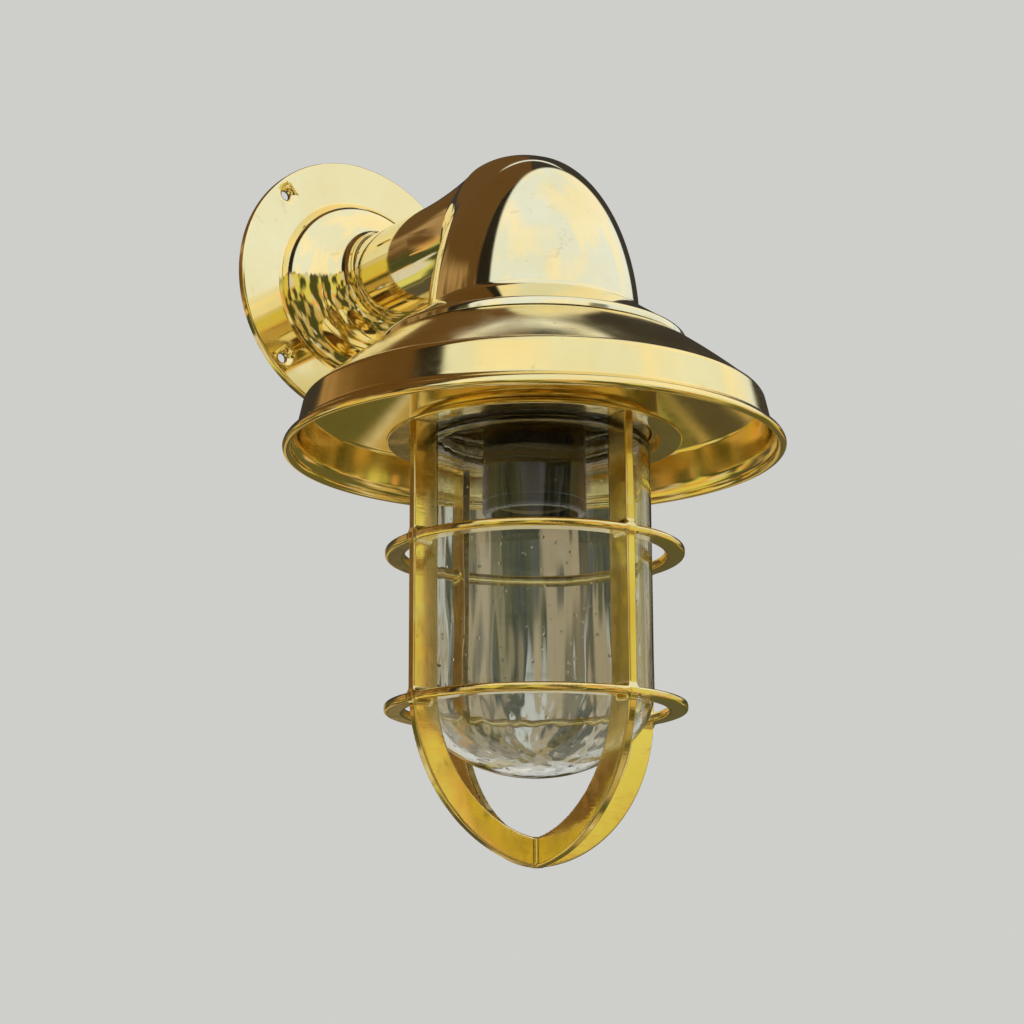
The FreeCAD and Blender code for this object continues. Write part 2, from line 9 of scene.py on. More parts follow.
import bpy
import numpy as np
from mathutils import Matrix, Vector

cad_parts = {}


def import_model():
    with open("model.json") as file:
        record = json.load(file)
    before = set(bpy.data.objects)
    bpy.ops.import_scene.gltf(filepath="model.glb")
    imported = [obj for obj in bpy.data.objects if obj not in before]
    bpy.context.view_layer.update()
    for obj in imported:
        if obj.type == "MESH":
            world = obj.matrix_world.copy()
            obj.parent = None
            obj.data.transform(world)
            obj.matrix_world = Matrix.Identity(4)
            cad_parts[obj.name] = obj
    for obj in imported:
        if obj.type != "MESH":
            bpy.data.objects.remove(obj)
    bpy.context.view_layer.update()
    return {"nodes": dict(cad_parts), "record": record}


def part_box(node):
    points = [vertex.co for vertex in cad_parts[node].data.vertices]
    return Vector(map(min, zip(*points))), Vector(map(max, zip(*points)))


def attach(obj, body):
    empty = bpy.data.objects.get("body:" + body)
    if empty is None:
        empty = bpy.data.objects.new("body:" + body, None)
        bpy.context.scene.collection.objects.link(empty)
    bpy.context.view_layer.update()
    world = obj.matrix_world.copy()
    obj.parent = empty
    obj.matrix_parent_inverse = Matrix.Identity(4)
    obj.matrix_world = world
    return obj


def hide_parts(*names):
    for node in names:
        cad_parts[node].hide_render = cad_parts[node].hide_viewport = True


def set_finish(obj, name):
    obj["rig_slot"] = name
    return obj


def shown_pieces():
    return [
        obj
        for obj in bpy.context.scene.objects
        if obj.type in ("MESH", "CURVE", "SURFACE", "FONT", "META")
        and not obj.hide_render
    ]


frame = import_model()

MM = 0.001
TURNS = 288       # segments round a turned piece
SKIN_STEP = 0.75  # cell size of the cast skins, mm


def span(node):
    """Lowest and highest corner of a CAD node, in millimetres."""
    low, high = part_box(node)
    return np.array(low) / MM, np.array(high) / MM


# ---------------------------------------------------------------- sizes, from the frame
band_low, band_high = span("shade_band")
AXIS_Y = (band_low[1] + band_high[1]) / 2          # lamp axis
RIM_INSET = 0.03                                   # keeps the rim's facets inside the CAD box
SHADE_R = (band_high[0] - band_low[0]) / 2 - RIM_INSET
SHADE_RIM_Z = band_low[2]
SHADE_TOP_Z = span("shade")[1][2]
FOOT_Z = span("hood_foot")[0][2]
FOOT_R = span("hood_foot")[1][0]
HOOD_TOP_Z = span("hood_elbow")[1][2]
NOSE_END = -span("wall_flange")[0][1]              # flange's nose, distance from the wall
FLANGE_R = span("wall_flange")[1][0]
GUARD_R = span("guard_middle_ring")[1][0]
RING_SPANS = [                                     # lowest and highest z of each ring
    (span(node)[0][2], span(node)[1][2]) for node in ("guard_middle_ring", "guard_bottom_ring")
]
COLLAR_TOP_Z = span("guard_collar")[1][2]
COLLAR_LOW_Z = span("guard_collar")[0][2]
GUARD_LOW_Z = span("guard_side_hoop")[0][2]
GLASS_R = span("glass_globe")[1][0]
GLASS_TOP_Z = span("glass_globe")[1][2]
GLASS_LOW_Z = span("glass_globe")[0][2]
HOLDER_R = span("holder_skirt")[1][0]
HOLDER_LOW_Z = span("holder_skirt")[0][2]
CAP_TOP_Z = span("holder_cap")[1][2]
CAP_LOW_Z = span("holder_cap")[0][2]


# ---------------------------------------------------------------- camera
CAMERA_PLACE = Vector((-0.522954, -0.809604, -0.332620))
CAMERA_YAW = math.radians(37.143)                  # from the wall's inward normal towards +X
CAMERA_PITCH = math.radians(13.453)
CAMERA_ROLL = math.radians(-0.249)
LENS_MM = 77.98
SENSOR_MM = 36


def camera():
    """Long lens from below and to the left of the lantern, looking up at it."""
    yaw, pitch, roll = CAMERA_YAW, CAMERA_PITCH, CAMERA_ROLL
    ahead = Vector((
        math.sin(yaw) * math.cos(pitch), math.cos(yaw) * math.cos(pitch), math.sin(pitch)
    ))
    level = Vector((math.cos(yaw), -math.sin(yaw), 0))
    over = level.cross(ahead)
    right = level * math.cos(roll) + over * math.sin(roll)
    up = over * math.cos(roll) - level * math.sin(roll)
    turn = Matrix((right, up, -ahead)).transposed().to_4x4()
    data = bpy.data.cameras.new("camera")
    data.lens = LENS_MM
    data.sensor_width = SENSOR_MM
    eye = bpy.data.objects.new("camera", data)
    eye.matrix_world = Matrix.Translation(CAMERA_PLACE) @ turn
    bpy.context.collection.objects.link(eye)
    bpy.context.scene.camera = eye


camera()


# ---------------------------------------------------------------- outlines
SHARP = 0.2                # corner in radians, about 12 degrees, from which an edge is rounded
EDGE_SHARE = 0.42          # most of a neighbouring edge that a rounding may take up


def arc(start, middle, end, steps=14):
    """Points along the circle through three (r, z) points, both ends included."""
    a, b, c = (complex(*p) for p in (start, middle, end))
    w = (c - a) / (b - a)
    centre = (b - a) * (w - abs(w) ** 2) / (2j * w.imag) + a
    first = math.atan2((a - centre).imag, (a - centre).real)
    sweeps = []
    for p in (b, c):
        turn = math.atan2((p - centre).imag, (p - centre).real) - first
        sweeps.append(turn % (2 * math.pi))
    sweep = sweeps[1]
    if sweeps[0] > sweeps[1]:                      # the middle point lies the other way round
        sweep -= 2 * math.pi
    radius = abs(a - centre)
    points = []
    for i in range(steps + 1):
        angle = first + sweep * i / steps
        points.append((centre.real + radius * math.cos(angle),
                       centre.imag + radius * math.sin(angle)))
    return points


def ellipse(radius, depth, middle_z, first, last, steps=40):
    """Points on an ellipse about the axis; degrees from the widest point, up positive."""
    points = []
    for i in range(steps + 1):
        angle = math.radians(first + (last - first) * i / steps)
        points.append((radius * math.cos(angle), middle_z + depth * math.sin(angle)))
    return points


def eased(outline, radius, steps=4):
    """The closed outline with a small rounding at every corner sharper than SHARP."""
    count = len(outline)
    result = []
    for i, here in enumerate(outline):
        before = np.subtract(outline[i - 1], here)
        after = np.subtract(outline[(i + 1) % count], here)
        back, on = np.linalg.norm(before), np.linalg.norm(after)
        turn = math.pi - math.acos(np.clip(before @ after / (back * on), -1, 1))
        if turn < SHARP:
            result.append(here)
            continue
        cut = min(radius * math.tan(turn / 2), EDGE_SHARE * back, EDGE_SHARE * on)
        first = np.array(here) + before / back * cut
        last = np.array(here) + after / on * cut
        for k in range(steps + 1):
            t = k / steps
            point = first * (1 - t) ** 2 + 2 * t * (1 - t) * np.array(here) + last * t * t
            result.append(tuple(point))
    return result


def outline_normals(points, closed):
    """Outward (r, z) normals; long edges count for more, so that flats stay flat."""
    points = np.array(points)
    edges = np.roll(points, -1, axis=0) - points
    if not closed:
        edges[-1] = edges[-2]
    before = np.roll(edges, 1, axis=0)
    if not closed:
        before[0] = edges[0]
    total = edges * np.linalg.norm(edges, axis=1, keepdims=True)
    total = total + before * np.linalg.norm(before, axis=1, keepdims=True)
    normals = np.stack([total[:, 1], -total[:, 0]], axis=1)
    return normals / np.maximum(np.linalg.norm(normals, axis=1, keepdims=True), 1e-12)


# ---------------------------------------------------------------- meshes
SLOPE_REACH = 0.02         # mm to each side over which a skin's slope is measured
PULLS = 5                  # times that a skin's vertices are drawn on to the surface
LEAST_STEEPNESS = 0.05


def on_lamp_axis(points):
    """Millimetres about the lamp axis to metres in the frame."""
    return (np.array(points) + (0, AXIS_Y, 0)) * MM


def out_of_wall(points):
    """A piece turned about Z, with z as its distance from the wall, to metres in the frame."""
    points = np.array(points)
    return np.stack([points[:, 0], -points[:, 2], points[:, 1]], axis=1) * MM


def new_piece(name, vertices, faces, body, slot, stands_for=()):
    """Object in the frame, riding on its CAD body."""
    mesh = bpy.data.meshes.new(name)
    mesh.from_pydata(np.asarray(vertices).tolist(), [], faces)
    mesh.update()
    mesh.shade_smooth()
    piece = bpy.data.objects.new(name, mesh)
    bpy.context.collection.objects.link(piece)
    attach(piece, body)
    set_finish(piece, slot)
    if stands_for:
        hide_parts(*stands_for)
    return piece


def lathe(name, outline, body, slot, stands_for=(), place=on_lamp_axis, closed=True, relief=None):
    """Turned piece.  relief(r, z, angles) adds to the radius, for threads and waviness."""
    outline = [tuple(map(float, p)) for p in outline]
    if closed:
        area = sum(a[0] * b[1] - b[0] * a[1] for a, b in zip(outline, outline[1:] + outline[:1]))
        if area < 0:
            outline.reverse()
    normals = outline_normals(outline, closed)
    angles = np.arange(TURNS) * 2 * math.pi / TURNS
    vertices, directions, rows = [], [], []
    for (r, z), (out_r, out_z) in zip(outline, normals):
        if r < 1e-6:
            rows.append([len(vertices)] * TURNS)
            vertices.append((0, 0, z))
            directions.append((0, 0, math.copysign(1, out_z)))
            continue
        rows.append(list(range(len(vertices), len(vertices) + TURNS)))
        radii = np.full(TURNS, r)
        if relief:
            radii = r + relief(r, z, angles)
        vertices += np.stack(
            [radii * np.cos(angles), radii * np.sin(angles), np.full(TURNS, z)], 1
        ).tolist()
        directions += np.stack(
            [out_r * np.cos(angles), out_r * np.sin(angles), np.full(TURNS, out_z)], 1
        ).tolist()
    faces = []
    for i in range(len(rows) if closed else len(rows) - 1):
        low, high = rows[i], rows[(i + 1) % len(rows)]
        for j in range(TURNS):
            k = (j + 1) % TURNS
            corners = dict.fromkeys((low[j], low[k], high[k], high[j]))
            faces.append(list(corners))
    piece = new_piece(name, place(vertices), faces, body, slot, stands_for)
    if not relief:
        turned = place(directions) - place([(0, 0, 0)])
        piece.data.normals_split_custom_set_from_vertices((turned / MM).tolist())
    return piece


def skin(name, distance, low, high, body, slot, stands_for=(), place=on_lamp_axis, step=SKIN_STEP):
    """Mesh of the surface where distance(x, y, z) is nought, inside the box low to high.

    One vertex goes in each cell that the surface cuts, and is then drawn on to the surface.
    """
    axes = [np.arange(a - step, b + 2 * step, step) for a, b in zip(low, high)]
    field = distance(axes[0][:, None, None], axes[1][None, :, None], axes[2][None, None, :])
    inside = np.broadcast_to(field, [len(a) for a in axes]) < 0
    cells = [n - 1 for n in inside.shape]
    filled = np.zeros(cells, np.int8)
    for i in (0, 1):
        for j in (0, 1):
            for k in (0, 1):
                filled += inside[i:i + cells[0], j:j + cells[1], k:k + cells[2]]
    cut = (filled > 0) & (filled < 8)
    number = np.full(cells, -1, np.int64)
    number[cut] = np.arange(cut.sum())
    where = np.argwhere(cut)
    points = np.stack([axes[d][where[:, d]] + step / 2 for d in range(3)], axis=1)

    faces = []
    for d in range(3):
        e, f = (d + 1) % 3, (d + 2) % 3
        near = np.moveaxis(inside, (d, e, f), (0, 1, 2))
        grid = np.moveaxis(number, (d, e, f), (0, 1, 2))
        leaves = near[:-1, 1:-1, 1:-1] & ~near[1:, 1:-1, 1:-1]
        enters = ~near[:-1, 1:-1, 1:-1] & near[1:, 1:-1, 1:-1]
        quad = [grid[:, :-1, :-1], grid[:, 1:, :-1], grid[:, 1:, 1:], grid[:, :-1, 1:]]
        faces.append(np.stack([q[leaves] for q in quad], axis=1))
        faces.append(np.stack([q[enters] for q in quad[::-1]], axis=1))
    faces = np.concatenate(faces)

    def slope(at):
        parts = []
        for d in range(3):
            ahead, behind = at.copy(), at.copy()
            ahead[:, d] += SLOPE_REACH
            behind[:, d] -= SLOPE_REACH
            parts.append((distance(*ahead.T) - distance(*behind.T)) / (2 * SLOPE_REACH))
        return np.stack(parts, axis=1)

    for _ in range(PULLS):
        gradient = slope(points)
        steepness = np.maximum((gradient ** 2).sum(axis=1), LEAST_STEEPNESS)
        shift = distance(*points.T) / steepness
        points -= np.clip(gradient * shift[:, None], -step, step)
    normals = slope(points)
    normals /= np.maximum(np.linalg.norm(normals, axis=1, keepdims=True), 1e-9)
    piece = new_piece(name, place(points), faces.tolist(), body, slot, stands_for)
    turned = (place(normals) - place([(0, 0, 0)])) / MM
    piece.data.normals_split_custom_set_from_vertices(turned.tolist())
    return piece


def in_frame(points):
    """Millimetres in the frame to metres."""
    return np.array(points) * MM


def bar(u, v, half_u, half_v, radius):
    """Distance to a rounded rectangle in a section plane."""
    du = np.abs(u) - (half_u - radius)
    dv = np.abs(v) - (half_v - radius)
    outside = np.hypot(np.maximum(du, 0), np.maximum(dv, 0))
    return outside + np.minimum(np.maximum(du, dv), 0) - radius


def fused(a, b, radius):
    """Two distances joined with a fillet."""
    within = np.hypot(np.maximum(radius - a, 0), np.maximum(radius - b, 0))
    return np.maximum(radius, np.minimum(a, b)) - within


# ---------------------------------------------------------------- guard casting
BAR_DEPTH = 11.1           # across a bar, in the radius
BAR_INNER_R = span("guard_side_hoop")[1][0] - BAR_DEPTH
BAR_HALF_W = span("guard_side_hoop")[1][1] - AXIS_Y
BAR_EDGE_R = 0.75          # rounding of a bar's edges
BAR_FILLET_R = 1.2         # where the two hoops cross
BAR_INTO_COLLAR = 0.4
RING_BORE_R = 51.3
RING_EDGE_R = 1.2
RING_FILLET_R = 1.8        # where the rings meet the bars
ARCH_Z = -203.0            # where the straight legs end
ARCH_OFFSET = 6.2          # how far past the axis each arch is struck from
COLLAR_BORE_R = 46.95
COLLAR_SEAT_R = 50.0       # wider bore under the thread
COLLAR_SEAT_Z = -97.6


def hoop(across, beside, z):
    """Distance to one bar of the guard: two legs and a pointed arch in one plane."""
    middle_r = (GUARD_R + BAR_INNER_R) / 2
    half = (GUARD_R - BAR_INNER_R) / 2
    out = np.abs(across)
    leg = out - middle_r
    arch = np.hypot(out + ARCH_OFFSET, np.minimum(z - ARCH_Z, 0)) - (middle_r + ARCH_OFFSET)
    from_middle = np.where(z > ARCH_Z, leg, arch)
    body = bar(from_middle, beside, half, BAR_HALF_W, BAR_EDGE_R)
    return np.maximum(body, z - (COLLAR_LOW_Z + BAR_INTO_COLLAR))


def cage(x, y, z):
    """Distance to the guard's rings and bars, cast in one with fillets where they meet."""
    radius = np.hypot(x, y)
    middle_r = (GUARD_R + RING_BORE_R) / 2
    half = (GUARD_R - RING_BORE_R) / 2
    rings = []
    for low, high in RING_SPANS:
        rings.append(
            bar(radius - middle_r, z - (low + high) / 2, half, (high - low) / 2, RING_EDGE_R)
        )
    bars = fused(hoop(x, y, z), hoop(y, x, z), BAR_FILLET_R)
    return np.maximum(fused(bars, np.minimum(*rings), RING_FILLET_R), GUARD_LOW_Z - z)


def guard():
    """The guard: its cage of rings and bars, and the collar that screws on over the glass."""
    reach = GUARD_R + 1
    skin("guard_cage", cage, (-reach, -reach, GUARD_LOW_Z - 1), (reach, reach, COLLAR_LOW_Z + 2),
         "guard", "guard_brass",
         ("guard_middle_ring", "guard_bottom_ring", "guard_side_hoop", "guard_front_hoop"))
    top, low = COLLAR_TOP_Z, COLLAR_LOW_Z
    outer = [(48.9, top), (49.3, top - 0.5), (49.6, -84.0)]
    outer += arc((50.0, -90.5), (52.3, -96.3), (58.2, -98.7), 18)
    outer += arc((58.4, -98.8), (GUARD_R, -99.6), (58.3, low), 8)
    inner = [(COLLAR_SEAT_R, low), (COLLAR_SEAT_R, COLLAR_SEAT_Z)]
    inner += [(COLLAR_BORE_R, COLLAR_SEAT_Z), (COLLAR_BORE_R, top)]
    lathe("guard_collar_ring", eased(outer + inner, 0.25), "guard", "guard_brass",
          ("guard_collar",))


# ---------------------------------------------------------------- hood and arm
HOOD_R = 43.0
HOOD_HEIGHT = 72.4         # of the dome above its widest level
HOOD_MID_Z = -52.0         # the dome's widest level
HOOD_LOW_Z = -48.4         # where the casting runs down into its foot
HOOD_STEP = SKIN_STEP * 1.2
ARM_R = 19.6
ARM_SAG = 0.22             # hollow of the arm's swell, as a share of its rise
ARM_GAP = 0.25             # clear of the flange's nose
BALL_R = 24.4
BALL_AT = 118.0            # the arm's ball, distance from the wall
FLARE_AT = 72.0            # where the arm starts to swell
BLEND_R = 8.0              # fillet between dome and arm
FOOT_BORE_R = 41.2


def arm_radius(out):
    """Radius of the arm at a distance from the wall."""
    sag = ARM_SAG * (BALL_R - ARM_R)
    t = np.clip((out - FLARE_AT) / (BALL_AT - FLARE_AT), 0, 1)
    return ARM_R + (BALL_R - ARM_R) * t - 4 * sag * t * (1 - t)


def hood(x, y, z):
    """Distance to the hood's dome and its arm, one casting with a fillet between them."""
    wide, high = HOOD_R, HOOD_HEIGHT
    back = y - AXIS_Y
    up = z - HOOD_MID_Z
    near = np.sqrt((x / wide) ** 2 + (back / wide) ** 2 + (up / high) ** 2)
    steep = np.sqrt((x / wide ** 2) ** 2 + (back / wide ** 2) ** 2 + (up / high ** 2) ** 2)
    dome = near * (near - 1) / np.maximum(steep, 1e-9)
    out = -y
    past = np.maximum(out - BALL_AT, 0)
    arm = np.hypot(np.hypot(x, z), past) - arm_radius(out)
    whole = fused(dome, arm, BLEND_R)
    return np.maximum(np.maximum(whole, NOSE_END + ARM_GAP - out), HOOD_LOW_Z - z)


def hood_casting():
    """The hood with its arm, and the stepped foot that the shade hangs under."""
    skin("hood_and_arm", hood, (-HOOD_R - 1, AXIS_Y - HOOD_R - 1, -49),
         (HOOD_R + 1, -NOSE_END, HOOD_TOP_Z + 1), "lantern_body", "cast_brass", ("hood_elbow",),
         place=in_frame, step=HOOD_STEP)
    cove = arc((42.9, -46.0), (43.6, -47.9), (46.2, -49.2), 10)
    edge = arc((60.2, -58.7), (61.6, -59.6), (FOOT_R, -61.0), 8)
    foot = [(FOOT_BORE_R, FOOT_Z), (FOOT_BORE_R, -45.4), (42.4, -45.6)] + cove + edge
    foot += [(FOOT_R, FOOT_Z)]
    lathe("hood_foot_ring", eased(foot, 0.2), "lantern_body", "cast_brass", ("hood_foot",))


# ---------------------------------------------------------------- shade
SLOPE_BOW = 0.35           # the slope is very slightly convex
SHEET_T = 1.2
SHADE_HOLE_R = 44.5


def shade():
    """Spun shade: slope, band, a crease and a rolled lip."""
    top, t = SHADE_TOP_Z, SHEET_T
    outer = [(SHADE_HOLE_R, top)] + arc((62.6, top), (63.4, top - 0.15), (64.1, top - 0.6), 6)
    outer += arc((64.1, top - 0.6), (77.3, (top - 84.5) / 2 + SLOPE_BOW), (89.9, -83.9), 16)[1:-1]
    outer += arc((89.9, -83.9), (91.6, -85.2), (92.3, -86.6), 8)
    outer += arc((94.7, -97.6), (95.0, -98.7), (95.9, -99.6), 7)
    outer += arc((97.0, -100.3), (99.1, -101.6), (SHADE_R, -103.3), 9)
    outer += arc((SHADE_R, -103.4), (99.5, -104.8), (98.5, SHADE_RIM_Z), 7)
    inner = arc((98.4, SHADE_RIM_Z), (97.1, -104.6), (96.4, -103.0), 7)
    inner += arc((96.2, -102.6), (94.6, -100.9), (93.6, -98.3), 8)
    inner += arc((91.1, -87.1), (90.6, -86.1), (89.7, -85.4), 6)
    inner += [(62.9, top - t), (SHADE_HOLE_R, top - t)]
    lathe("shade_spinning", eased(outer + inner, 0.2), "lantern_body", "spun_brass",
          ("shade", "shade_band"))


# ---------------------------------------------------------------- wall flange
SCREW_CIRCLE_R = 54.0
SCREW_HOLE_R = 2.4
COUNTERSINK_R = 4.4
CUTTER_SIDES = 48
FLANGE_FRONT = 4.5
GASKET_FRONT = -span("wall_gasket")[0][1]
NOSE_BORE_R = 16.6
NOSE_BACK = 13.0           # back face of the nose, distance from the wall
RECESS_R = 36.5
CREASE = math.radians(35)  # edges sharper than this stay sharp on the drilled flange
POST_DROP = 28.5           # earth post, below the arm's axis


def hole_cutter():
    """Countersunk drill for the four wall screws, as one mesh out of the wall."""
    vertices, faces = [], []
    depth = COUNTERSINK_R - SCREW_HOLE_R
    stations = [(SCREW_HOLE_R, -1), (SCREW_HOLE_R, FLANGE_FRONT - depth),
                (COUNTERSINK_R + 0.5, FLANGE_FRONT + 0.5)]
    sides = CUTTER_SIDES
    for quarter in range(4):
        turn = math.radians(45 + 90 * quarter)
        across, up = SCREW_CIRCLE_R * math.cos(turn), SCREW_CIRCLE_R * math.sin(turn)
        start = len(vertices)
        for radius, z in stations:
            for i in range(sides):
                angle = 2 * math.pi * i / sides
                vertices.append(
                    (across + radius * math.cos(angle), up + radius * math.sin(angle), z)
                )
        for row in range(len(stations) - 1):
            for i in range(sides):
                j = (i + 1) % sides
                a, b = start + row * sides, start + (row + 1) * sides
                faces.append((a + i, a + j, b + j, b + i))
        faces.append(tuple(start + i for i in reversed(range(sides))))
        faces.append(tuple(start + 2 * sides + i for i in range(sides)))
    mesh = bpy.data.meshes.new("cutter")
    mesh.from_pydata(out_of_wall(vertices).tolist(), [], faces)
    cutter = bpy.data.objects.new("cutter", mesh)
    bpy.context.collection.objects.link(cutter)
    return cutter


def bake_modifiers(piece):
    """Replace a piece's mesh with the result of its modifiers."""
    bpy.context.view_layer.update()
    shaped = piece.evaluated_get(bpy.context.evaluated_depsgraph_get())
    mesh = bpy.data.meshes.new_from_object(shaped)
    piece.modifiers.clear()
    piece.data = mesh


def wall_flange():
    """The flange on the wall, drilled for its screws, and the earth post behind its dome."""
    front = FLANGE_FRONT
    outer = [(FLANGE_R, GASKET_FRONT)]
    outer += arc((FLANGE_R, front - 1.0), (FLANGE_R - 0.3, front - 0.3),
                 (FLANGE_R - 1.0, front), 6)
    outer += [(FLANGE_R - 1.3, front), (48.0, front), (42.0, front)]
    outer += arc((40.9, front + 0.3), (36.9, 12.6), (28.6, 17.4), 26)
    outer += arc((28.4, 17.5), (22.0, 21.9), (ARM_R + 0.05, NOSE_END - 0.5), 26)
    outer += [(ARM_R - 0.25, NOSE_END), (NOSE_BORE_R, NOSE_END)]
    inner = [(NOSE_BORE_R, NOSE_BACK), (26.8, NOSE_BACK)]
    inner += arc((27.2, 12.95), (32.6, 10.2), (RECESS_R, 4.5), 12)
    inner += [(RECESS_R, GASKET_FRONT)]
    piece = lathe("wall_flange_casting", eased(outer + inner, 0.25), "lantern_body",
                  "flange_brass", ("wall_flange",), place=out_of_wall)
    cutter = hole_cutter()
    drill = piece.modifiers.new("holes", "BOOLEAN")
    drill.object = cutter
    drill.solver = "EXACT"
    bake_modifiers(piece)
    bpy.data.objects.remove(cutter)
    piece.data.set_sharp_from_angle(angle=CREASE)
    even = piece.modifiers.new("even shading", "WEIGHTED_NORMAL")
    even.keep_sharp = True
    outline = [(1.3, 7.5), (3.5, 7.5), (3.5, 13.1), (1.3, 13.1)]
    post = lathe("terminal_post", eased(outline, 0.2), "lantern_body", "flange_brass",
                 place=out_of_wall)
    post.data.transform(Matrix.Translation((0, 0, -POST_DROP * MM)))


# ---------------------------------------------------------------- glass globe
NECK_R = 40.9
SHOULDER_Z = -97.8
GLASS_STRAIGHT_Z = -200.0
GLASS_T = 3.0
THREAD_PITCH = 6.0
THREAD_DEPTH = 1.1
THREAD_EASE = 2            # mm over which the thread fades in and out at its ends
THREAD_LOW_Z = -96.5
SKIN_OF_GLASS = 0.09       # drawn in, so that the waves stay inside the CAD box
FADE_R = 12                # the waves die away inside this radius


def glass_relief(r, z, angles):
    """Rounded thread on the neck, and the slight unevenness of pressed glass below it."""
    from_top = min(max((GLASS_TOP_Z - 2.5 - z) / THREAD_EASE, 0), 1)
    ease = from_top * min(max((z - THREAD_LOW_Z) / THREAD_EASE, 0), 1)
    phase = 2 * np.pi * (z - GLASS_TOP_Z) / THREAD_PITCH + angles
    crest = np.maximum(np.cos(phase), 0) ** 2
    if r > NECK_R - 1.5:                           # the neck's outside, not its bore
        thread = -THREAD_DEPTH * ease * (1 - crest)
    else:
        thread = 0 * angles
    wave = 0.05 * np.sin(3 * angles + z * 0.07) + 0.04 * np.sin(7 * angles - z * 0.11 + 1.3)
    if r < GLASS_R - 1:
        wave = wave * 1.6
    fade = min(r / FADE_R, 1)
    return thread + wave * fade - SKIN_OF_GLASS * fade


def glass():
    """The glass: round bottom, straight wall, shoulder, and a threaded neck."""
    depth = GLASS_STRAIGHT_Z - GLASS_LOW_Z
    shoulder = GLASS_R - NECK_R
    inner_r = GLASS_R - GLASS_T
    turn_z = SHOULDER_Z - shoulder
    outer = ellipse(GLASS_R, depth, GLASS_STRAIGHT_Z, -90, 0, 48)
    outer[0] = (0, GLASS_LOW_Z)
    outer += [(GLASS_R, z) for z in np.linspace(GLASS_STRAIGHT_Z + 2, turn_z - 0.5, 40)]
    outer += arc((GLASS_R, turn_z), (NECK_R + shoulder * 0.707, SHOULDER_Z - shoulder * 0.293),
                 (NECK_R, SHOULDER_Z), 12)
    outer += [(NECK_R, z) for z in np.linspace(SHOULDER_Z + 0.8, GLASS_TOP_Z - 1.0, 56)]
    rim = arc((NECK_R - 0.2, GLASS_TOP_Z - 0.5), (NECK_R - 1.5, GLASS_TOP_Z),
              (NECK_R - GLASS_T + 0.2, GLASS_TOP_Z - 0.6), 8)
    bore = NECK_R - GLASS_T
    inner = [(bore, z) for z in np.linspace(GLASS_TOP_Z - 1.2, SHOULDER_Z - 2.2, 16)]
    inner += arc((bore + 0.3, SHOULDER_Z - 3.0), (inner_r - 1.2, SHOULDER_Z - 4.6),
                 (inner_r, SHOULDER_Z - 8.0), 10)
    inner += [(inner_r, z) for z in np.linspace(SHOULDER_Z - 9, GLASS_STRAIGHT_Z, 40)]
    inner += ellipse(inner_r, depth - GLASS_T, GLASS_STRAIGHT_Z, -2, -90, 44)
    inner[-1] = (0, GLASS_LOW_Z + GLASS_T)
    lathe("glass_globe_pressed", outer + rim + inner, "globe", "clear_glass", ("glass_globe",),
          closed=False, relief=glass_relief)


# ---------------------------------------------------------------- lamp holder
CAP_BORE_R = 5.1
CAP_NECK_R = 9.0
JOINT_R = HOLDER_R - 0.35  # bottom of the fine joint between cap and sleeve
GROOVE_R = HOLDER_R - 0.4
SLEEVE_BORE_R = 17.2
LEDGE_R = 15.0             # ledge that carries the porcelain core


def holder():
    """Black moulded holder: domed cap and a sleeve with a fine joint between them."""
    top, joint, low = CAP_TOP_Z, CAP_LOW_Z, HOLDER_LOW_Z
    cap = [(CAP_BORE_R, top), (8.6, top), (CAP_NECK_R, top - 0.4), (CAP_NECK_R, top - 5)]
    cap += arc((9.3, top - 5.4), (17.0, top - 8.6), (HOLDER_R, top - 17), 14)
    cap += [(HOLDER_R, joint + 0.4), (JOINT_R, joint), (18.0, joint), (18.0, top - 17)]
    cap += [(CAP_NECK_R, top - 8.2), (CAP_BORE_R, top - 8.2)]
    lathe("holder_cap_moulding", eased(cap, 0.25), "lantern_body", "bakelite", ("holder_cap",))
    sleeve = [(16.2, joint + 5.5), (17.9, joint + 5.5), (17.9, joint), (JOINT_R, joint)]
    sleeve += [(HOLDER_R, joint - 0.4), (HOLDER_R, low + 5.0), (GROOVE_R, low + 4.6)]
    sleeve += [(GROOVE_R, low + 4.0), (HOLDER_R, low + 3.6)]
    sleeve += arc((HOLDER_R, low + 1.1), (HOLDER_R - 0.35, low + 0.35), (HOLDER_R - 1.1, low), 6)
    sleeve += [(SLEEVE_BORE_R, low), (SLEEVE_BORE_R, -97.0), (LEDGE_R, -97.0), (LEDGE_R, -95.0)]
    sleeve += [(16.2, -95.0)]
    lathe("holder_sleeve_moulding", eased(sleeve, 0.15), "lantern_body", "bakelite",
          ("holder_skirt",))


guard()
hood_casting()
shade()
wall_flange()
glass()
holder()


